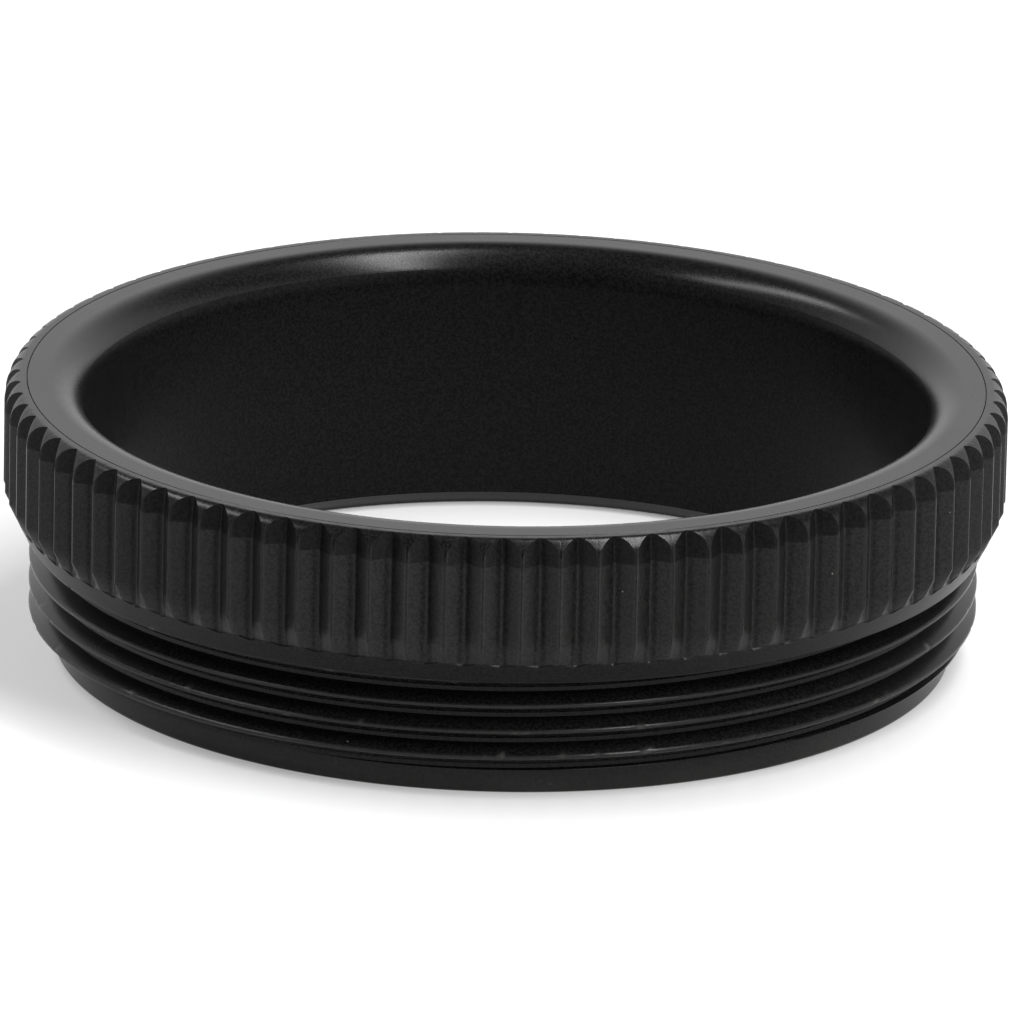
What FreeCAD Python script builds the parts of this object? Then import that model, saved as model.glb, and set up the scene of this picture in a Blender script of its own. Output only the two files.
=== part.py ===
import FreeCAD, Part
import math
import os
import Sketcher

# A knurled ring with a male thread and a 1.25 inch eyepiece bore, in two
# pieces: a threaded sleeve and a knurled grip ring seated around its head.
# The ring axis is +Z, the origin is the centre of the lower end face and
# every length is in millimetres.

DIMENSIONS = {
    # threaded sleeve
    "bore_radius": 15.95,
    "mouth_round": 1.36,
    "exit_chamfer": 0.6,
    "overall_height": 10.45,
    "pilot_radius": 17.04,
    "pilot_height": 1.05,
    "pilot_edge_break": 0.16,
    "thread_radius": 18.0,
    "thread_pitch": 1.0,
    "thread_depth": 0.6134,
    "thread_entry_radius": 17.45,
    "thread_entry_height": 1.45,
    "thread_first_root": 0.457,
    "thread_rise": 4.72,
    "thread_overshoot": 0.01,
    "seat_radius": 18.14,
    "seam_edge_break": 0.05,
    # knurled grip ring
    "grip_radius": 19.0,
    "grip_base_height": 4.72,
    "grip_base_radius": 18.22,
    "grip_corner_round": 0.6,
    "taper_top_height": 6.28,
    "knurl_count": 84,
    "knurl_root_radius": 18.5155,
    "knurl_root_round": 0.35,
    "knurl_tool_radius": 19.05,
    "knurl_crease_height": 9.45,
    "knurl_lead_length": 1.0,
    "knurl_lead_slope": 0.105,
    "fade_length": 1.2,
    "fade_slope": 0.084,
}

OUTPUT_FOLDER = "parts"
LENGTH_TOLERANCE = 1e-6

# Sloping sides of the knurl grooves stand at 45 degrees to the radius.
HALF_ROOT = "(dims.knurl_root_round * sqrt(2) / 2)"
ROOT_EDGE = "(dims.knurl_root_radius + dims.knurl_root_round * (1 - sqrt(2) / 2))"
HALF_MOUTH = "(dims.knurl_tool_radius - %s + %s)" % (ROOT_EDGE, HALF_ROOT)

# Sides of the thread groove stand at 30 degrees to the radius.
THREAD_ROOT = "(dims.thread_radius - dims.thread_depth)"
THREAD_OUTSIDE = "(dims.seat_radius + dims.thread_overshoot)"
HALF_THREAD_ROOT = "dims.thread_pitch / 12"
HALF_THREAD_MOUTH = (
    "(%s + (%s - %s) * sqrt(3) / 3)" % (HALF_THREAD_ROOT, THREAD_OUTSIDE, THREAD_ROOT)
)


def fill_sheet(document):
    """Put every driving dimension in one spreadsheet, one alias per row."""
    sheet = document.addObject("Spreadsheet::Sheet", "dims")
    for row, (alias, value) in enumerate(DIMENSIONS.items(), start=1):
        sheet.set("A%d" % row, alias)
        sheet.set("B%d" % row, str(value))
        sheet.setAlias("B%d" % row, alias)
    document.recompute()
    return sheet


def new_body(document, label):
    """Add an empty body that carries the name of its sub-part."""
    body = document.addObject("PartDesign::Body", label)
    body.Label = label
    return body


def origin_feature(body, role):
    """Return the plane or axis of the body's own origin that has this role."""
    for feature in body.Origin.OriginFeatures:
        if feature.Role == role:
            return feature
    raise RuntimeError("no origin feature " + role)


def new_sketch(body, name, role, height=None):
    """Add a sketch on an origin plane, lifted by an expression if given."""
    sketch = body.newObject("Sketcher::SketchObject", name)
    sketch.AttachmentSupport = [(origin_feature(body, role), "")]
    sketch.MapMode = "FlatFace"
    if height is not None:
        sketch.setExpression("AttachmentOffset.Base.z", height)
    return sketch


def starting_point(step, count):
    """Spread the corners of an unsolved outline evenly round a circle."""
    angle = 2 * math.pi * step / count
    return FreeCAD.Vector(20 + math.cos(angle), math.sin(angle), 0)


def bind_datum(sketch, constraint, label, expression):
    """Add a dimensional constraint and drive it by an expression."""
    number = sketch.addConstraint(constraint)
    sketch.renameConstraint(number, label)
    sketch.setExpression("Constraints." + label, expression)


def pin_corner(sketch, line, end, name, across, along):
    """Tie one end of a sketch line to two expressions."""
    point = sketch.getPoint(line, end)
    across_datum = Sketcher.Constraint("DistanceX", -1, 1, line, end, point.x)
    bind_datum(sketch, across_datum, name + "_across", across)
    along_datum = Sketcher.Constraint("DistanceY", -1, 1, line, end, point.y)
    bind_datum(sketch, along_datum, name + "_along", along)


def draw_outline(sketch, corners):
    """Draw a closed outline of straight lines through the named corners."""
    count = len(corners)
    for step in range(count):
        start = starting_point(step, count)
        end = starting_point(step + 1, count)
        sketch.addGeometry(Part.LineSegment(start, end), False)
    for step in range(count):
        following = (step + 1) % count
        sketch.addConstraint(Sketcher.Constraint("Coincident", step, 2, following, 1))
    for step, (name, across, along) in enumerate(corners):
        pin_corner(sketch, step, 1, name, across, along)


def groove_starting_points():
    """Place the corners of the groove section close to their solved positions."""
    half_root = DIMENSIONS["knurl_root_round"] * math.sqrt(0.5)
    edge = DIMENSIONS["knurl_root_radius"] + DIMENSIONS["knurl_root_round"] - half_root
    mouth = DIMENSIONS["knurl_tool_radius"]
    half_mouth = mouth - edge + half_root
    return (
        FreeCAD.Vector(half_root, -edge, 0),
        FreeCAD.Vector(half_mouth, -mouth, 0),
        FreeCAD.Vector(-half_mouth, -mouth, 0),
        FreeCAD.Vector(-half_root, -edge, 0),
    )


def draw_groove_section(sketch):
    """Draw a groove section: two sides at 45 degrees, a round root, an open side."""
    points = groove_starting_points()
    crown = FreeCAD.Vector(0, -DIMENSIONS["knurl_root_radius"], 0)
    for step in range(3):
        sketch.addGeometry(Part.LineSegment(points[step], points[step + 1]), False)
    sketch.addGeometry(Part.Arc(points[3], crown, points[0]), False)
    arc = 3
    left_end = 1 if sketch.getPoint(arc, 1).x < 0 else 2
    right_end = 3 - left_end
    for step in range(2):
        sketch.addConstraint(Sketcher.Constraint("Coincident", step, 2, step + 1, 1))
    sketch.addConstraint(Sketcher.Constraint("Coincident", 2, 2, arc, left_end))
    sketch.addConstraint(Sketcher.Constraint("Coincident", 0, 1, arc, right_end))
    pin_corner(sketch, 0, 1, "right_root", HALF_ROOT, "-" + ROOT_EDGE)
    pin_corner(sketch, 1, 1, "right_mouth", HALF_MOUTH, "-dims.knurl_tool_radius")
    pin_corner(sketch, 2, 1, "left_mouth", "-" + HALF_MOUTH, "-dims.knurl_tool_radius")
    pin_corner(sketch, 2, 2, "left_root", "-" + HALF_ROOT, "-" + ROOT_EDGE)
    rounding = Sketcher.Constraint("Radius", arc, DIMENSIONS["knurl_root_round"])
    bind_datum(sketch, rounding, "root_round", "dims.knurl_root_round")


def revolve(body, sketch, name):
    """Turn a section round the ring axis into a full solid."""
    feature = body.newObject("PartDesign::Revolution", name)
    feature.Profile = sketch
    feature.ReferenceAxis = (origin_feature(body, "Z_Axis"), [""])
    feature.Angle = 360
    return feature


def circular_edge(shape, radius, height):
    """Name the edge that is a full circle of this radius at this height."""
    for number, edge in enumerate(shape.Edges, start=1):
        if not isinstance(edge.Curve, Part.Circle):
            continue
        same_radius = abs(edge.Curve.Radius - radius) < LENGTH_TOLERANCE
        same_height = abs(edge.Curve.Center.z - height) < LENGTH_TOLERANCE
        if same_radius and same_height:
            return "Edge%d" % number
    raise RuntimeError("no circular edge of radius %g" % radius)


def round_rim(document, body, base, radius_alias, height_alias, round_alias):
    """Round one circular edge of the turned blank."""
    document.recompute()
    radius = DIMENSIONS[radius_alias]
    height = DIMENSIONS[height_alias]
    feature = body.newObject("PartDesign::Fillet", round_alias)
    feature.Base = (base, [circular_edge(base.Shape, radius, height)])
    feature.setExpression("Radius", "dims." + round_alias)
    return feature


def build_threaded_sleeve(document):
    """Turned sleeve: rounded mouth, plain bore, male thread and short pilot."""
    body = new_body(document, "threaded_sleeve")
    section = new_sketch(body, "sleeve_section", "XZ_Plane")
    draw_outline(
        section,
        (
            ("bore_exit", "dims.bore_radius", "dims.exit_chamfer"),
            ("exit_face", "dims.bore_radius + dims.exit_chamfer", "0"),
            ("pilot_face", "dims.pilot_radius - dims.pilot_edge_break", "0"),
            ("pilot_edge", "dims.pilot_radius", "dims.pilot_edge_break"),
            ("pilot_top", "dims.pilot_radius", "dims.pilot_height"),
            ("thread_face", "dims.thread_entry_radius", "dims.pilot_height"),
            ("thread_edge", "dims.thread_radius", "dims.thread_entry_height"),
            ("thread_end", "dims.thread_radius", "dims.grip_base_height"),
            ("seat_start", "dims.seat_radius", "dims.grip_base_height"),
            (
                "seat_end",
                "dims.seat_radius",
                "dims.overall_height - dims.seam_edge_break",
            ),
            (
                "head_edge",
                "dims.seat_radius - dims.seam_edge_break",
                "dims.overall_height",
            ),
            ("mouth", "dims.bore_radius", "dims.overall_height"),
        ),
    )
    blank = revolve(body, section, "sleeve_blank")
    round_rim(document, body, blank, "bore_radius", "overall_height", "mouth_round")
    cut_thread(body)
    return body


def cut_thread(body):
    """Cut the right-hand 60 degree thread along the sleeve."""
    section = new_sketch(body, "thread_section", "XZ_Plane")
    centre = "dims.thread_first_root"
    draw_outline(
        section,
        (
            ("root_low", THREAD_ROOT, centre + " - " + HALF_THREAD_ROOT),
            ("mouth_low", THREAD_OUTSIDE, centre + " - " + HALF_THREAD_MOUTH),
            ("mouth_high", THREAD_OUTSIDE, centre + " + " + HALF_THREAD_MOUTH),
            ("root_high", THREAD_ROOT, centre + " + " + HALF_THREAD_ROOT),
        ),
    )
    thread = body.newObject("PartDesign::SubtractiveHelix", "thread_groove")
    thread.Profile = section
    thread.ReferenceAxis = (origin_feature(body, "Z_Axis"), [""])
    thread.Mode = 0
    thread.LeftHanded = False
    thread.Reversed = False
    thread.setExpression("Pitch", "dims.thread_pitch")
    thread.setExpression("Height", "dims.thread_rise")


def build_knurled_grip_ring(document):
    """Grip ring: rounded top corner, tapered foot and straight knurl."""
    body = new_body(document, "knurled_grip_ring")
    section = new_sketch(body, "grip_section", "XZ_Plane")
    draw_outline(
        section,
        (
            ("seat_foot", "dims.seat_radius", "dims.grip_base_height"),
            ("taper_foot", "dims.grip_base_radius", "dims.grip_base_height"),
            ("taper_head", "dims.grip_radius", "dims.taper_top_height"),
            ("corner", "dims.grip_radius", "dims.overall_height"),
            (
                "seam_outer",
                "dims.seat_radius + dims.seam_edge_break",
                "dims.overall_height",
            ),
            (
                "seam_inner",
                "dims.seat_radius",
                "dims.overall_height - dims.seam_edge_break",
            ),
        ),
    )
    blank = revolve(body, section, "grip_blank")
    round_rim(document, body, blank, "grip_radius", "overall_height", "grip_corner_round")
    cut_knurl(body)
    return body


def sloping_pocket(body, section, name, direction):
    """Cut a groove section along a direction that leaves its plane at a slope."""
    pocket = body.newObject("PartDesign::Pocket", name)
    pocket.Profile = section
    pocket.Type = "Length"
    pocket.UseCustomVector = True
    pocket.Direction = direction
    pocket.AlongSketchNormal = True
    return pocket


def cut_knurl(body):
    """Cut one groove in three lengths and repeat it round the ring."""
    upper_section = new_sketch(
        body, "groove_section", "XY_Plane", "dims.knurl_crease_height"
    )
    draw_groove_section(upper_section)
    straight = body.newObject("PartDesign::Pocket", "straight_groove")
    straight.Profile = upper_section
    straight.Type = "Length"
    straight.setExpression("Length", "dims.knurl_crease_height - dims.taper_top_height")

    inward = FreeCAD.Vector(0, DIMENSIONS["knurl_lead_slope"], 1)
    lead = sloping_pocket(body, upper_section, "lead_in_groove", inward)
    lead.setExpression("Length", "dims.knurl_lead_length")

    lower_section = new_sketch(body, "fade_section", "XY_Plane", "dims.taper_top_height")
    draw_groove_section(lower_section)
    outward = FreeCAD.Vector(0, -DIMENSIONS["fade_slope"], -1)
    fade = sloping_pocket(body, lower_section, "fading_groove", outward)
    fade.setExpression("Length", "dims.fade_length")

    pattern = body.newObject("PartDesign::PolarPattern", "knurl")
    pattern.Originals = [straight, lead, fade]
    pattern.Axis = (origin_feature(body, "Z_Axis"), [""])
    pattern.Angle = 360
    pattern.setExpression("Occurrences", "dims.knurl_count")
    body.Tip = pattern


def check_document(document):
    """Stop if any object failed to compute."""
    for item in document.Objects:
        if "Invalid" in item.State or "Error" in item.State:
            raise RuntimeError("%s is %s" % (item.Label, item.State))


def export_part(body):
    """Write one sub-part to its own STEP file."""
    shape = body.Shape
    if shape.isNull() or not shape.isValid():
        raise RuntimeError(body.Label + " has no valid shape")
    shape.exportStep(os.path.join(OUTPUT_FOLDER, body.Label + ".step"))


os.makedirs(OUTPUT_FOLDER, exist_ok=True)
document = FreeCAD.newDocument("eyepiece_ring")
fill_sheet(document)
bodies = [build_threaded_sleeve(document), build_knurled_grip_ring(document)]
document.recompute()
check_document(document)
for finished_body in bodies:
    export_part(finished_body)
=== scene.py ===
import math
import random

import bmesh
import bpy
import numpy as np
from mathutils import Matrix, Vector


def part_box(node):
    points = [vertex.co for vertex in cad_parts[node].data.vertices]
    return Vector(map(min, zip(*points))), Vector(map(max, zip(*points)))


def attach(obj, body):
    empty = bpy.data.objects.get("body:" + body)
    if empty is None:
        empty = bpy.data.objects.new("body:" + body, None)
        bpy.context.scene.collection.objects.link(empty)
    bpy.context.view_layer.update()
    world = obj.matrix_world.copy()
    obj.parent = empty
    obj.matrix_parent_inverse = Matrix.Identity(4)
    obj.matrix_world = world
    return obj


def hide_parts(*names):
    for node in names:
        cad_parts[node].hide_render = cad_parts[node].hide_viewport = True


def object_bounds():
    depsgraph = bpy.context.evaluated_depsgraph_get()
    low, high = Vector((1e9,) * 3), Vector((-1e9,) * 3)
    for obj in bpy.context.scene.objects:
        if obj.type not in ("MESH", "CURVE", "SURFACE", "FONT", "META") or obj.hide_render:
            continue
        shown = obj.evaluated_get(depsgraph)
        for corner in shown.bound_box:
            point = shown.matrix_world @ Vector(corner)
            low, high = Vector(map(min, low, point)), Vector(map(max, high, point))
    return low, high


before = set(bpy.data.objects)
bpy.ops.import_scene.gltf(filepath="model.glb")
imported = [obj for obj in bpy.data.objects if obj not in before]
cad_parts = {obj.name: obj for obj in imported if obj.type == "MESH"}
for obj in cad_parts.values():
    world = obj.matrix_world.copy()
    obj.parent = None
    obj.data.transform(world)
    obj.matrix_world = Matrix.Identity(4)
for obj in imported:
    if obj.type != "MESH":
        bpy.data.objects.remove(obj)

CAD_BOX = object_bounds()
MM = 0.001

# Sizes in millimetres. The outline comes from the CAD nodes' boxes and most others are the CAD's own.
# The corner, the grooves' root round and width, the fade and the seam are drawn finer than in the CAD.
sleeve_low, sleeve_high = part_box("threaded_sleeve")
ring_low, ring_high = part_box("knurled_grip_ring")
TOP = CAD_BOX[1][2] / MM
RIM_RADIUS = ring_high[0] / MM
RING_BOTTOM = ring_low[2] / MM

BORE_RADIUS = 15.95
MOUTH_ROUND = 1.36
EXIT_CHAMFER = 0.6
PILOT_RADIUS = 17.04
PILOT_HEIGHT = 1.05
PILOT_EDGE = 0.16
THREAD_RADIUS = 18.0
THREAD_PITCH = 1.0
THREAD_DEPTH = 0.6134
THREAD_ENTRY_RADIUS = 17.45
THREAD_ENTRY_HEIGHT = 1.45
THREAD_FIRST_ROOT = 0.457
SEAT_RADIUS = 18.14

CORNER_ROUND = 0.92
CORNER_REACH = 0.62
CONE_BOTTOM_RADIUS = 18.22
CONE_TOP = 6.28
KNURL_COUNT = 84
KNURL_ROOT_RADIUS = 18.5155
KNURL_ROOT_ROUND = 0.10
KNURL_HALF_WIDTH = 0.655
KNURL_CREASE = 9.45
KNURL_LEAD_SLOPE = 0.105
FADE_BOTTOM = 5.45
FADE_SCALLOP = 0.12
FADE_END = 0.07
SEAM_GAP = 0.03
SEAM_DEPTH = 0.12
SEAM_EDGE = 0.012
# The knurl's crest edges are painted lighter: partly wear, partly a painted highlight.
CREST_WEAR_AND_HIGHLIGHT_AT = 0.65
CREST_WEAR_AND_HIGHLIGHT_WIDTH = 0.03
# Painted shade beside each groove's root: its place and its width.
ROOT_SHADE_AT = 0.15
ROOT_SHADE_WIDTH = 0.075
# How far out from the bore wall the bore's painted shade reaches.
BORE_SHADE_REACH = 0.13


# ---------------------------------------------------------------- mesh helpers

def loop_mesh(name, points):
    """A mesh from a grid of points (columns round the axis, rows round the section), closed both ways."""
    columns, rows = points.shape[:2]
    index = np.arange(columns * rows).reshape(columns, rows)
    right = np.roll(index, -1, axis=0)
    faces = np.stack(
        [index, right, np.roll(right, -1, axis=1), np.roll(index, -1, axis=1)], axis=-1
    ).reshape(-1, 4)
    mesh = bpy.data.meshes.new(name)
    mesh.vertices.add(columns * rows)
    mesh.vertices.foreach_set("co", (points.reshape(-1, 3) * MM).ravel())
    mesh.loops.add(faces.size)
    mesh.loops.foreach_set("vertex_index", faces.ravel())
    mesh.polygons.add(len(faces))
    mesh.polygons.foreach_set("loop_start", np.arange(0, faces.size, 4))
    mesh.update(calc_edges=True)
    mesh.validate()
    return mesh


def add_piece(name, mesh, node, materials, kinds):
    """Puts a finished mesh in the scene in place of its CAD node. kinds gives each face's material."""
    mesh.polygons.foreach_set("use_smooth", np.ones(len(mesh.polygons), dtype=bool))
    mesh.set_sharp_from_angle(angle=math.radians(24))
    for material in materials:
        mesh.materials.append(material)
    mesh.polygons.foreach_set("material_index", kinds)
    piece = bpy.data.objects.new(name, mesh)
    bpy.context.scene.collection.objects.link(piece)
    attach(piece, "root")
    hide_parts(node)
    return piece


def set_values(mesh, name, values):
    """A number at each point of the mesh, 0 to 1, for the material to read."""
    attribute = mesh.attributes.new(name, "FLOAT", "POINT")
    attribute.data.foreach_set("value", np.ascontiguousarray(values.ravel(), dtype=np.float32))


def around(angles, heights, radii):
    """Points at those heights and radii, for arrays that agree in shape with (columns, rows)."""
    angle = np.broadcast_to(np.asarray(angles)[:, None], radii.shape)
    heights = np.broadcast_to(heights, radii.shape)
    return np.stack([radii * np.cos(angle), radii * np.sin(angle), heights], axis=-1)


# ---------------------------------------------------------------- knurled grip ring

FLANK_RISE = (RIM_RADIUS - KNURL_ROOT_RADIUS) / KNURL_HALF_WIDTH
FLANK_STRETCH = math.hypot(1, FLANK_RISE)
APEX = KNURL_ROOT_RADIUS - KNURL_ROOT_ROUND * (FLANK_STRETCH - 1)
CORNER_CENTRE_R = RIM_RADIUS - CORNER_REACH
CORNER_CENTRE_Z = TOP - CORNER_ROUND


def cone_radius(z):
    """The turned outside of the ring below the corner round."""
    slope = (RIM_RADIUS - CONE_BOTTOM_RADIUS) / (CONE_TOP - RING_BOTTOM)
    return np.minimum(RIM_RADIUS, CONE_BOTTOM_RADIUS + (z - RING_BOTTOM) * slope)


def corner_radius(z):
    """The turned outside of the ring in the corner round."""
    rise = np.clip(z - CORNER_CENTRE_Z, 0, CORNER_ROUND)
    return CORNER_CENTRE_R + CORNER_REACH * np.sqrt(1 - (rise / CORNER_ROUND) ** 2)


def groove_radius(turn, apex):
    """Radius of a groove's surface at an angle from its middle: flat flanks and a small round root."""
    sine = np.abs(np.sin(turn))
    cosine = np.cos(turn)
    flank = apex / (cosine - FLANK_RISE * sine)
    centre = apex + KNURL_ROOT_ROUND * FLANK_STRETCH
    inside = np.maximum(KNURL_ROOT_ROUND ** 2 - (centre * sine) ** 2, 0)
    root = centre * cosine - np.sqrt(inside)
    return np.where(flank * sine < KNURL_ROOT_ROUND * FLANK_RISE / FLANK_STRETCH, root, flank)


def knurl_columns():
    """Each column's place round the ring, its angle from its groove's middle and its groove's depth."""
    rng = random.Random(7)
    half_pitch = math.pi / KNURL_COUNT
    edge = math.acos(APEX / RIM_RADIUS / FLANK_STRETCH) - math.atan(FLANK_RISE)
    soft = 0.015 / RIM_RADIUS
    root_end = KNURL_ROOT_ROUND * FLANK_RISE / FLANK_STRETCH
    half = [0.02, 0.04, root_end, 0.09, 0.13, 0.17, 0.22, 0.28, 0.42, 0.52, 0.6]
    half = [value / RIM_RADIUS for value in half] + [edge - soft, edge + soft, edge + 2.2 * soft]
    turns = [-value for value in reversed(half)] + [0.0] + half
    turns = [-half_pitch] + turns
    places, offsets, depths = [], [], []
    for groove in range(KNURL_COUNT):
        middle = -math.pi / 2 + 2 * math.pi * groove / KNURL_COUNT
        shift = rng.uniform(-0.0007, 0.0007)
        depth = rng.uniform(-0.014, 0.014)
        for turn in turns:
            places.append(middle + turn + (shift if abs(turn) < half_pitch else 0.0))
            offsets.append(turn)
            depths.append(depth)
    return np.array(places), np.array(offsets), np.array(depths)


def arch_height(turn, depth):
    """Height where the groove's surface runs out through the corner round, for each column."""
    low = np.full_like(turn, KNURL_CREASE)
    high = np.full_like(turn, TOP)
    for _ in range(40):
        middle = (low + high) / 2
        apex = APEX + depth - KNURL_LEAD_SLOPE * (middle - KNURL_CREASE)
        open_here = corner_radius(middle) > groove_radius(turn, apex)
        low = np.where(open_here, middle, low)
        high = np.where(open_here, high, middle)
    return low


def build_grip_ring(materials):
    place, turn, depth = knurl_columns()
    floor = np.minimum(groove_radius(turn, APEX + depth), RIM_RADIUS)
    cut = RIM_RADIUS - floor
    rows = []

    def row(z, r, wear=0.0, milled=0.0):
        values = (z, r, wear, milled * in_groove)
        rows.append([np.broadcast_to(np.asarray(value, dtype=float), place.shape) for value in values])

    in_groove = (cut > 0.004).astype(float)
    row(RING_BOTTOM, SEAT_RADIUS)
    row(RING_BOTTOM, CONE_BOTTOM_RADIUS - 0.05)
    row(RING_BOTTOM, CONE_BOTTOM_RADIUS - 0.025)
    row(RING_BOTTOM + 0.03, cone_radius(RING_BOTTOM + 0.03), 0.25)
    fade_start = FADE_BOTTOM + FADE_SCALLOP * (1 - cut / cut.max())
    for share in (0.06, 0.5, 0.94):
        z = RING_BOTTOM + 0.03 + (fade_start - RING_BOTTOM - 0.03) * share
        row(z, cone_radius(z))
    for share in (0.0, 0.02, 0.05, 0.08, 0.11, 0.15, 0.2, 0.6, 1.0):
        z = fade_start + (CONE_TOP - fade_start) * share
        run_out = min(1.0, share / FADE_END) ** 0.8
        left = (cone_radius(z) - KNURL_ROOT_RADIUS) / (RIM_RADIUS - KNURL_ROOT_RADIUS)
        tip = 0.2 * math.exp(-((share - 0.03) / 0.05) ** 2)
        row(z, cone_radius(z) - cut * left * run_out, tip, min(1.0, share / 0.05))
    for share in (0.03, 0.5, 0.97, 0.997):
        row(CONE_TOP + (KNURL_CREASE - CONE_TOP) * share, floor, 0.0, 1.0)
    arch = arch_height(turn, depth)
    for share in (0.0, 0.08, 0.5, 1.0):
        z = KNURL_CREASE + (arch - KNURL_CREASE) * share
        apex = APEX + depth - KNURL_LEAD_SLOPE * (z - KNURL_CREASE)
        row(z, np.minimum(groove_radius(turn, apex), corner_radius(z)), 0.0, 0.3)
    first = np.arcsin(np.clip((arch - CORNER_CENTRE_Z) / CORNER_ROUND, 0, 1))
    for share in np.linspace(0, 1, 10):
        lift = first + (math.pi / 2 - first) * share
        lift = np.maximum(lift, first + 0.001)
        row(CORNER_CENTRE_Z + CORNER_ROUND * np.sin(lift), CORNER_CENTRE_R + CORNER_REACH * np.cos(lift))
    inner = SEAT_RADIUS + SEAM_GAP / 2
    row(TOP, inner + SEAM_EDGE)
    row(TOP - SEAM_EDGE, inner)
    row(TOP - SEAM_DEPTH, inner)
    row(TOP - SEAM_DEPTH, SEAT_RADIUS)

    heights, radii, wear, milled = (np.stack([entry[k] for entry in rows], axis=1) for k in range(4))
    from_root = np.abs(turn) * RIM_RADIUS
    # Crest edges: lighter, partly rubbed wear and partly a painted highlight along the crest edges.
    edge = np.exp(-((from_root - CREST_WEAR_AND_HIGHLIGHT_AT) / CREST_WEAR_AND_HIGHLIGHT_WIDTH) ** 2)[:, None]
    on_knurl = ((heights > CONE_TOP - 0.3) & (heights < TOP - 0.25)).astype(float)
    wear = np.maximum(wear, 0.2 * edge * on_knurl)
    # Painted shade: strips beside each groove's root, made duller in the material.
    root_shade_mask = np.exp(-((from_root - ROOT_SHADE_AT) / ROOT_SHADE_WIDTH) ** 2)[:, None] * milled
    mesh = loop_mesh("knurled_grip_ring_visual", around(place, heights, radii))
    set_values(mesh, "wear", wear)
    set_values(mesh, "painted_root_shade", root_shade_mask)
    cut_faces = np.minimum(milled, np.roll(milled, -1, axis=1))
    cut_faces = np.maximum(cut_faces, np.roll(cut_faces, -1, axis=0)) > 0.5
    led_in = np.minimum(milled, np.roll(milled, -1, axis=1)) > 0.2
    under = heights < FADE_BOTTOM + FADE_SCALLOP + 0.01
    # Materials: 0 turned, 1 milled grooves, 2 their lead-in above the crease, 3 the band underneath, a less
    # reflective copy as painted shade under the overhang.
    kinds = np.where(cut_faces, 1, np.where(led_in, 2, np.where(under, 3, 0)))
    kinds = kinds.ravel().astype(np.int32)
    return add_piece("grip_ring_knurled", mesh, "knurled_grip_ring", materials, kinds)


# ---------------------------------------------------------------- threaded sleeve

SLEEVE_COLUMNS = 864
TURN_COUNT = 7
FLANK = 0.5 - 1 / 12 - 1 / 16


def thread_radius(phase):
    """Radius of the 60 degree thread, by the share of a pitch from the middle of its groove."""
    away = np.abs(phase - np.round(phase))
    climb = np.clip((away - 1 / 12) / FLANK, 0, 1)
    return THREAD_RADIUS - THREAD_DEPTH * (1 - climb)


def nick_depth(angle, z):
    """Small dents along the thread's crests, most of them on the lowest turns."""
    rng = random.Random(23)
    dent = np.zeros(np.broadcast(angle, z).shape)
    for _ in range(90):
        place = rng.uniform(0, 2 * math.pi)
        turns = rng.choice([0, 0, 1, 1, 2, 3])
        width = rng.uniform(0.05, 0.16)
        depth = rng.uniform(0.01, 0.05)
        crest = THREAD_FIRST_ROOT + THREAD_PITCH * (place / (2 * math.pi) + 0.5 + turns)
        height = crest + rng.uniform(-0.09, 0.09)
        across = (np.angle(np.exp(1j * (angle - place))) * THREAD_RADIUS) / width
        along = (z - height) / 0.07
        dent += depth * np.exp(-across ** 2 - along ** 2)
    return dent


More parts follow.
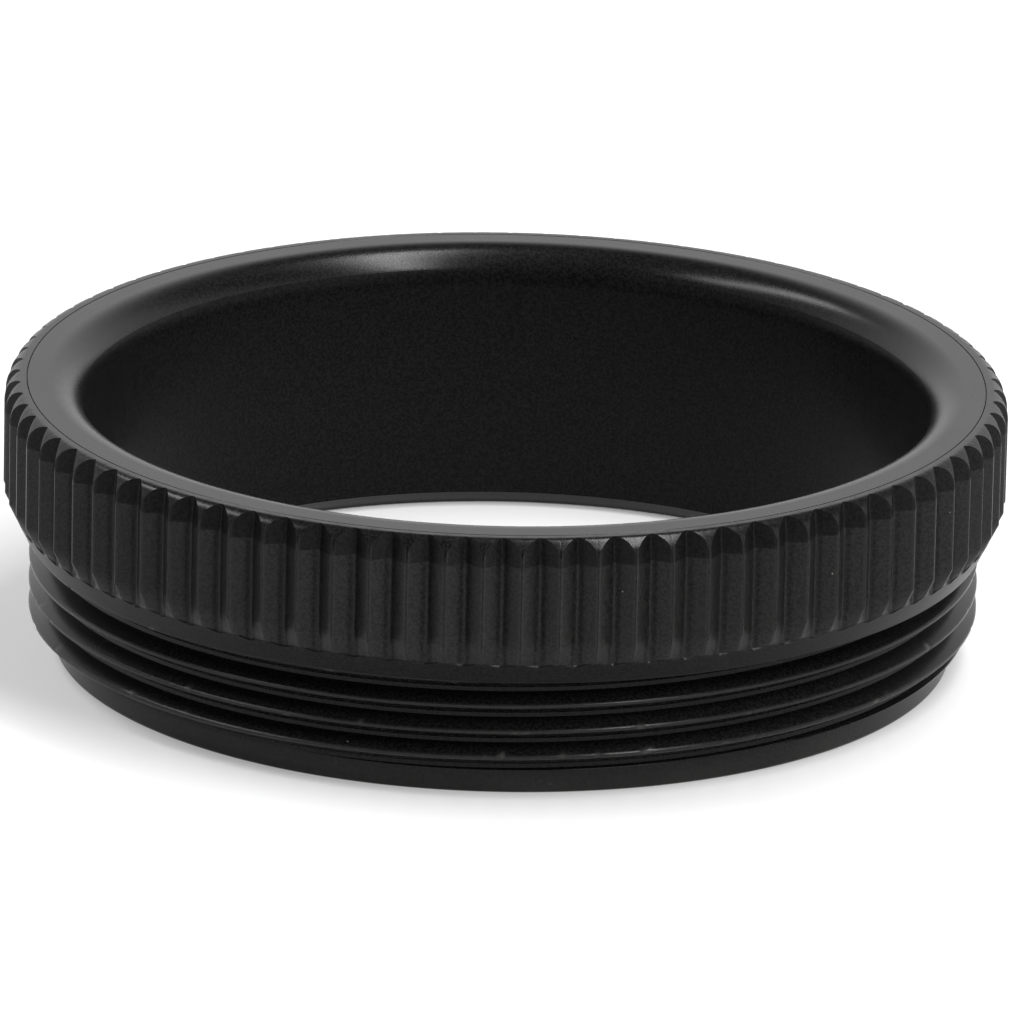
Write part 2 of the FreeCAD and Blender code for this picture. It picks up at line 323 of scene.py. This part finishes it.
def build_sleeve(materials):
    angle = 2 * math.pi * np.arange(SLEEVE_COLUMNS) / SLEEVE_COLUMNS
    rows = []

    def row(z, r, wear=0.0):
        rows.append([np.broadcast_to(np.asarray(value, dtype=float), angle.shape) for value in (z, r, wear)])

    # Underneath and up the plain pilot.
    row(0.0, BORE_RADIUS + EXIT_CHAMFER + 0.03)
    row(0.0, (BORE_RADIUS + PILOT_RADIUS) / 2)
    for lift in np.linspace(0, math.pi / 2, 5):
        z = PILOT_EDGE * (1 - math.cos(lift))
        row(z, PILOT_RADIUS - PILOT_EDGE * (1 - math.sin(lift)), 0.35)
    row(PILOT_HEIGHT - 0.05, PILOT_RADIUS)
    row(PILOT_HEIGHT, PILOT_RADIUS)

    # The thread, its rows climbing with the helix and held between its two ends.
    shares = [-1 / 12, 0.0, 1 / 12 - 0.012, 1 / 12 + 0.012]
    shares += list(np.linspace(1 / 12 + 0.06, 0.5 - 1 / 16 - 0.05, 5))
    shares += [0.5 - 1 / 16 - 0.012, 0.5 - 1 / 16 + 0.015, 0.5 + 1 / 16 - 0.015, 0.5 + 1 / 16 + 0.012]
    shares += list(np.linspace(0.5 + 1 / 16 + 0.05, 1 - 1 / 12 - 0.06, 5))
    shares += [1 - 1 / 12 - 0.012]
    for turn in range(-1, TURN_COUNT - 1):
        for share in shares:
            raw = THREAD_FIRST_ROOT + THREAD_PITCH * (turn + share + angle / (2 * math.pi))
            z = np.clip(raw, PILOT_HEIGHT, RING_BOTTOM)
            phase = (z - THREAD_FIRST_ROOT) / THREAD_PITCH - angle / (2 * math.pi)
            entry = (z - PILOT_HEIGHT) / (THREAD_ENTRY_HEIGHT - PILOT_HEIGHT)
            blank = THREAD_ENTRY_RADIUS + (THREAD_RADIUS - THREAD_ENTRY_RADIUS) * np.clip(entry, 0, 1)
            full = np.minimum(thread_radius(phase), blank)
            dent = nick_depth(angle, z) * (full > THREAD_RADIUS - 0.25)
            crest = np.clip((full - THREAD_RADIUS + 0.05) / 0.05, 0, 1)
            row(z, full - dent, np.maximum(0.3 * crest, np.clip(dent / 0.02, 0, 1)))

    # Inside the grip ring, over the top face and down the rounded mouth and the bore.
    outer = SEAT_RADIUS - SEAM_GAP / 2
    row(RING_BOTTOM, outer)
    row(TOP - SEAM_DEPTH, outer)
    row(TOP - SEAM_EDGE, outer)
    row(TOP, outer - SEAM_EDGE)
    row(TOP, BORE_RADIUS + MOUTH_ROUND + 0.05)
    for lift in np.linspace(0, math.pi / 2, 18):
        row(TOP - MOUTH_ROUND * (1 - math.cos(lift)), BORE_RADIUS + MOUTH_ROUND * (1 - math.sin(lift)))
    for share in (0.01, 0.25, 0.5, 0.75, 0.99):
        row(TOP - MOUTH_ROUND + (EXIT_CHAMFER - TOP + MOUTH_ROUND) * share, BORE_RADIUS)
    row(EXIT_CHAMFER, BORE_RADIUS)
    row(EXIT_CHAMFER - 0.02, BORE_RADIUS + 0.02)
    row(0.02, BORE_RADIUS + EXIT_CHAMFER - 0.02)

    heights, radii, wear = (np.stack([entry[k] for entry in rows], axis=1) for k in range(3))
    points = around(angle, heights, radii)
    mesh = sleeve_mesh(points, len(shares), wear)
    centres = np.empty(len(mesh.polygons) * 3)
    mesh.polygons.foreach_get("center", centres)
    centres = centres.reshape(-1, 3) / MM
    out, height = np.hypot(centres[:, 0], centres[:, 1]), centres[:, 2]
    in_bore = (out < BORE_RADIUS + BORE_SHADE_REACH) & (height > EXIT_CHAMFER)
    on_thread = (height > PILOT_HEIGHT) & (height < RING_BOTTOM) & ~in_bore
    # Materials: 0 turned, 1 bore, 2 thread; the bore and the thread get less reflective copies, as painted
    # shade inside the bore and under the ring.
    kinds = np.where(in_bore, 1, np.where(on_thread, 2, 0)).astype(np.int32)
    return add_piece("sleeve_threaded", mesh, "threaded_sleeve", materials, kinds)


def sleeve_mesh(points, rows_per_turn, wear):
    """Closes the grid, with the helical rows stepping up by one turn where the circle meets itself."""
    columns, rows = points.shape[:2]
    first_helical = 9  # rows underneath and up the pilot
    helical = rows_per_turn * TURN_COUNT
    index = np.arange(columns * rows).reshape(columns, rows)
    joined = index[0].copy()
    for k in range(helical):
        target = min(first_helical + k + rows_per_turn, first_helical + helical - 1)
        joined[first_helical + k] = index[0, target]
    right = np.vstack([index[1:], joined])
    faces = np.stack(
        [index, right, np.roll(right, -1, axis=1), np.roll(index, -1, axis=1)], axis=-1
    ).reshape(-1, 4)
    mesh = bpy.data.meshes.new("threaded_sleeve_visual")
    mesh.from_pydata([tuple(p) for p in points.reshape(-1, 3) * MM], [], faces.tolist())
    set_values(mesh, "wear", wear)
    work = bmesh.new()
    work.from_mesh(mesh)
    bmesh.ops.remove_doubles(work, verts=work.verts, dist=2e-7)
    bmesh.ops.dissolve_degenerate(work, edges=work.edges, dist=2e-7)
    work.to_mesh(mesh)
    work.free()
    mesh.validate()
    return mesh


# ---------------------------------------------------------------- materials

def node(tree, kind, place, **settings):
    made = tree.nodes.new(kind)
    made.location = place
    for key, value in settings.items():
        if key in made.inputs.keys():
            made.inputs[key].default_value = value
        else:
            setattr(made, key, value)
    return made


def math_node(tree, operation, place, first, second=None, third=None, clamp=False):
    made = tree.nodes.new("ShaderNodeMath")
    made.operation = operation
    made.use_clamp = clamp
    made.location = place
    for slot, value in enumerate((first, second, third)):
        if value is None:
            continue
        if isinstance(value, (int, float)):
            made.inputs[slot].default_value = value
        else:
            tree.links.new(value, made.inputs[slot])
    return made.outputs[0]


def mix_colour(tree, place, factor, first, second):
    made = tree.nodes.new("ShaderNodeMix")
    made.data_type = "RGBA"
    made.location = place
    tree.links.new(factor, made.inputs[0])
    for slot, value in ((6, first), (7, second)):
        if isinstance(value, tuple):
            made.inputs[slot].default_value = value
        else:
            tree.links.new(value, made.inputs[slot])
    return made.outputs[2]


def anodised(name, seed, ior, roughness, dark, light, grain, turning):
    """Black satin anodised aluminium: fine grain, faint turning lines, rubbed edges, which on the knurl's
    crests are partly a painted highlight, a little dust, and painted shade beside the grooves' roots.
    """
    material = bpy.data.materials.new(name)
    material.use_nodes = True
    tree = material.node_tree
    tree.nodes.clear()
    output = node(tree, "ShaderNodeOutputMaterial", (900, 0))
    shader = node(tree, "ShaderNodeBsdfPrincipled", (600, 0))
    tree.links.new(shader.outputs[0], output.inputs[0])
    shader.inputs["Metallic"].default_value = 0.0
    shader.inputs["IOR"].default_value = ior

    place = node(tree, "ShaderNodeTexCoord", (-1400, 0)).outputs["Object"]
    axes = node(tree, "ShaderNodeSeparateXYZ", (-1200, -300))
    tree.links.new(place, axes.inputs[0])
    across = math_node(tree, "MULTIPLY", (-1050, -250), axes.outputs[0], axes.outputs[0])
    across = math_node(tree, "MULTIPLY_ADD", (-900, -250), axes.outputs[1], axes.outputs[1], across)
    across = math_node(tree, "SQRT", (-750, -250), across)
    along = math_node(tree, "ADD", (-600, -250), across, axes.outputs[2])

    cloud = node(tree, "ShaderNodeTexNoise", (-900, 300), Scale=260.0, Detail=4.0, Roughness=0.6)
    cloud.noise_dimensions = "4D"
    cloud.inputs["W"].default_value = seed
    tree.links.new(place, cloud.inputs["Vector"])
    fine = node(tree, "ShaderNodeTexNoise", (-900, 100), Scale=9000.0, Detail=3.0, Roughness=0.65)
    tree.links.new(place, fine.inputs["Vector"])
    lines = node(tree, "ShaderNodeTexNoise", (-400, -250), Scale=14000.0, Detail=2.0, Roughness=0.7)
    lines.noise_dimensions = "1D"
    tree.links.new(along, lines.inputs["W"])

    # Colour: near black, a touch cooler or warmer in patches, greyer where rubbed, on the knurl's crest
    # edges partly as a painted highlight, with pale dust specks.
    tone = mix_colour(tree, (-400, 400), cloud.outputs["Fac"], (*dark, 1), (*light, 1))
    speckle = math_node(tree, "MULTIPLY_ADD", (-500, 250), fine.outputs["Fac"], 5.0, -2.0, clamp=True)
    tone = mix_colour(tree, (-300, 400), speckle, tone, tuple(2.2 * value for value in light) + (1,))
    wear = node(tree, "ShaderNodeAttribute", (-900, 600), attribute_name="wear")
    broken = math_node(tree, "MULTIPLY", (-650, 600), wear.outputs["Fac"], cloud.outputs["Fac"])
    broken = math_node(tree, "MULTIPLY", (-500, 600), broken, 0.9, clamp=True)
    rubbed_and_highlit = mix_colour(tree, (-200, 450), broken, tone, (0.085, 0.083, 0.080, 1))
    cells = node(tree, "ShaderNodeTexVoronoi", (-900, 850), Scale=900.0)
    tree.links.new(place, cells.inputs["Vector"])
    pick = node(tree, "ShaderNodeSeparateColor", (-700, 950))
    tree.links.new(cells.outputs["Color"], pick.inputs[0])
    chosen = math_node(tree, "GREATER_THAN", (-500, 950), pick.outputs[0], 0.93)
    close = math_node(tree, "LESS_THAN", (-500, 800), cells.outputs["Distance"], 0.032)
    speck = math_node(tree, "MULTIPLY", (-300, 850), chosen, close)
    coloured = mix_colour(tree, (0, 500), speck, rubbed_and_highlit, (0.20, 0.20, 0.19, 1))
    tree.links.new(coloured, shader.inputs["Base Color"])

    # Painted shade: duller, less reflective strips beside each groove's root, standing in for the shade
    # there.
    painted_root_shade = node(tree, "ShaderNodeAttribute", (-200, 700), attribute_name="painted_root_shade").outputs["Fac"]
    level = math_node(tree, "MULTIPLY_ADD", (100, 650), painted_root_shade, -0.26, 0.5, clamp=True)
    tree.links.new(level, shader.inputs["Specular IOR Level"])

    # Roughness: satin, a little uneven, duller on dust.
    rough = math_node(tree, "MULTIPLY_ADD", (-200, 150), cloud.outputs["Fac"], 0.12, roughness - 0.09)
    rough = math_node(tree, "MULTIPLY_ADD", (-50, 150), fine.outputs["Fac"], 0.06, rough)
    rough = math_node(tree, "MULTIPLY_ADD", (100, 150), speck, 0.4, rough, clamp=True)
    tree.links.new(rough, shader.inputs["Roughness"])

    # Relief: blasted grain under faint turning lines.
    relief = math_node(tree, "MULTIPLY", (-200, -150), fine.outputs["Fac"], grain)
    relief = math_node(tree, "MULTIPLY_ADD", (-50, -150), lines.outputs["Fac"], turning, relief)
    bump = node(tree, "ShaderNodeBump", (250, -200), Strength=1.0, Distance=MM)
    tree.links.new(relief, bump.inputs["Height"])
    tree.links.new(bump.outputs[0], shader.inputs["Normal"])
    return material


# ---------------------------------------------------------------- stage, light and camera

def softbox(name, ends, distance, width, radiance):
    """A strip softbox facing the ring, from one direction to another as seen from it."""
    first, last = (Vector(end).normalized() * distance for end in ends)
    toward = (first + last).normalized()
    light = bpy.data.lights.new(name, "AREA")
    light.shape = "RECTANGLE"
    light.size = (last - first).length
    light.size_y = width
    light.energy = radiance * math.pi * light.size * width
    along = (last - first).normalized()
    across = toward.cross(along)
    lamp = bpy.data.objects.new(name, light)
    turned = Matrix((along, across, toward)).transposed().to_4x4()
    turned.translation = (first + last) / 2 + Vector((0, 0, TOP * MM))
    lamp.matrix_world = turned
    lamp.visible_camera = False
    bpy.context.scene.collection.objects.link(lamp)


def build_stage():
    size_x, front, back = 0.5, -0.075, 0.7
    mesh = bpy.data.meshes.new("floor")
    mesh.from_pydata(
        [(-size_x, front, 0), (size_x, front, 0), (size_x, back, 0), (-size_x, back, 0)],
        [],
        [(0, 1, 2, 3)],
    )
    floor = bpy.data.objects.new("floor", mesh)
    bpy.context.scene.collection.objects.link(floor)
    material = bpy.data.materials.new("floor_white")
    material.use_nodes = True
    shader = material.node_tree.nodes["Principled BSDF"]
    shader.inputs["Base Color"].default_value = (0.58, 0.58, 0.58, 1)
    shader.inputs["Roughness"].default_value = 0.9
    shader.inputs["Specular IOR Level"].default_value = 0.1
    shader.inputs["Emission Color"].default_value = (1, 1, 1, 1)
    shader.inputs["Emission Strength"].default_value = 0.30
    mesh.materials.append(material)


def build_world():
    """White behind and low at the sides, dark overhead and in front; white where seen directly."""
    world = bpy.data.worlds.new("studio")
    bpy.context.scene.world = world
    world.use_nodes = True
    tree = world.node_tree
    tree.nodes.clear()
    output = node(tree, "ShaderNodeOutputWorld", (800, 0))
    background = node(tree, "ShaderNodeBackground", (600, 0), Strength=1.0)
    tree.links.new(background.outputs[0], output.inputs[0])
    direction = node(tree, "ShaderNodeTexCoord", (-800, 0)).outputs["Generated"]
    axes = node(tree, "ShaderNodeSeparateXYZ", (-600, 0))
    tree.links.new(direction, axes.inputs[0])

    def window(value, start, end, place):
        ramp = node(tree, "ShaderNodeMapRange", place)
        ramp.interpolation_type = "SMOOTHSTEP"
        tree.links.new(value, ramp.inputs["Value"])
        ramp.inputs["From Min"].default_value = start
        ramp.inputs["From Max"].default_value = end
        return ramp.outputs["Result"]

    behind = window(axes.outputs[1], -0.25, 0.15, (-400, 200))
    right = window(axes.outputs[0], 0.30, 0.65, (-400, -200))
    left = window(axes.outputs[0], -0.40, -0.80, (-400, -400))
    low = window(axes.outputs[2], 0.75, 0.40, (-400, 0))
    sheet = math_node(tree, "MULTIPLY", (-200, 200), behind, 1.2)
    sides = math_node(tree, "MULTIPLY", (-200, -200), right, 1.2)
    sides = math_node(tree, "MULTIPLY_ADD", (-50, -200), left, 0.55, sides)
    sheet = math_node(tree, "MAXIMUM", (0, 100), sheet, sides)
    strength = math_node(tree, "MULTIPLY_ADD", (100, 100), sheet, low, 0.03)
    seen = node(tree, "ShaderNodeLightPath", (0, -200)).outputs["Is Camera Ray"]
    strength = math_node(tree, "MAXIMUM", (200, 0), strength, seen)
    tree.links.new(strength, background.inputs["Strength"])
    background.inputs["Color"].default_value = (1, 1, 1, 1)


def build_camera():
    """Square on to the front, looking down at 18.3 degrees, from 0.57 m, level but for a slight roll."""
    lift, distance, roll = 0.31873, 0.56753, 0.02071
    target = Vector((0, 0, (TOP - 0.07) * MM))
    forward = Vector((0, math.cos(lift), -math.sin(lift)))
    up = Vector((0, math.sin(lift), math.cos(lift)))
    side = Vector((1, 0, 0))
    right = side * math.cos(roll) + up * math.sin(roll)
    upward = up * math.cos(roll) - side * math.sin(roll)
    aim = (forward + right * 0.000349 - upward * 0.008652).normalized()
    right = aim.cross(upward).normalized()
    upward = right.cross(aim)
    data = bpy.data.cameras.new("camera")
    data.sensor_width = 36.0
    data.lens = 527.4
    data.clip_start = 0.01
    data.clip_end = 10.0
    camera = bpy.data.objects.new("camera", data)
    turned = Matrix((right, upward, -aim)).transposed().to_4x4()
    turned.translation = target - forward * distance
    camera.matrix_world = turned
    bpy.context.scene.collection.objects.link(camera)
    bpy.context.scene.camera = camera


build_camera()
TURNED = (0.0020, 0.0021, 0.0023), (0.0042, 0.0042, 0.0041)
MILLED = (0.0040, 0.0040, 0.0042), (0.0070, 0.0069, 0.0067)
grip_turned = anodised("grip_turned_black", 3.0, 1.27, 0.26, *TURNED, 0.002, 0.0012)
grip_milled = anodised("grip_milled_black", 5.0, 1.265, 0.34, *MILLED, 0.006, 0.0)
grip_lead = anodised("grip_lead_in_black", 6.0, 1.20, 0.30, *TURNED, 0.003, 0.0)
# Painted shade: a less reflective copy of the turned material for the band under the overhang.
grip_under = anodised("grip_underside_painted_shade", 8.0, 1.17, 0.30, *TURNED, 0.002, 0.0020)
sleeve_turned = anodised("sleeve_turned_black", 11.0, 1.27, 0.25, *TURNED, 0.002, 0.0016)
# Painted shade: less reflective copies of the turned material for the thread under the ring and for the
# bore.
sleeve_thread = anodised("sleeve_thread_painted_shade", 12.0, 1.23, 0.25, *TURNED, 0.002, 0.0016)
sleeve_bore = anodised("sleeve_bore_painted_shade", 13.0, 1.155, 0.30, *TURNED, 0.003, 0.0010)
build_grip_ring([grip_turned, grip_milled, grip_lead, grip_under])
build_sleeve([sleeve_turned, sleeve_bore, sleeve_thread])
build_stage()
build_world()
softbox("softbox_right", ((0.41, -0.68, 0.62), (0.15, 0.32, 0.93)), 0.55, 0.042, 41.0)
softbox("softbox_left", ((-0.60, -0.22, 0.77), (-0.52, 0.50, 0.69)), 0.55, 0.07, 13.0)
bpy.context.scene.view_settings.view_transform = "Standard"
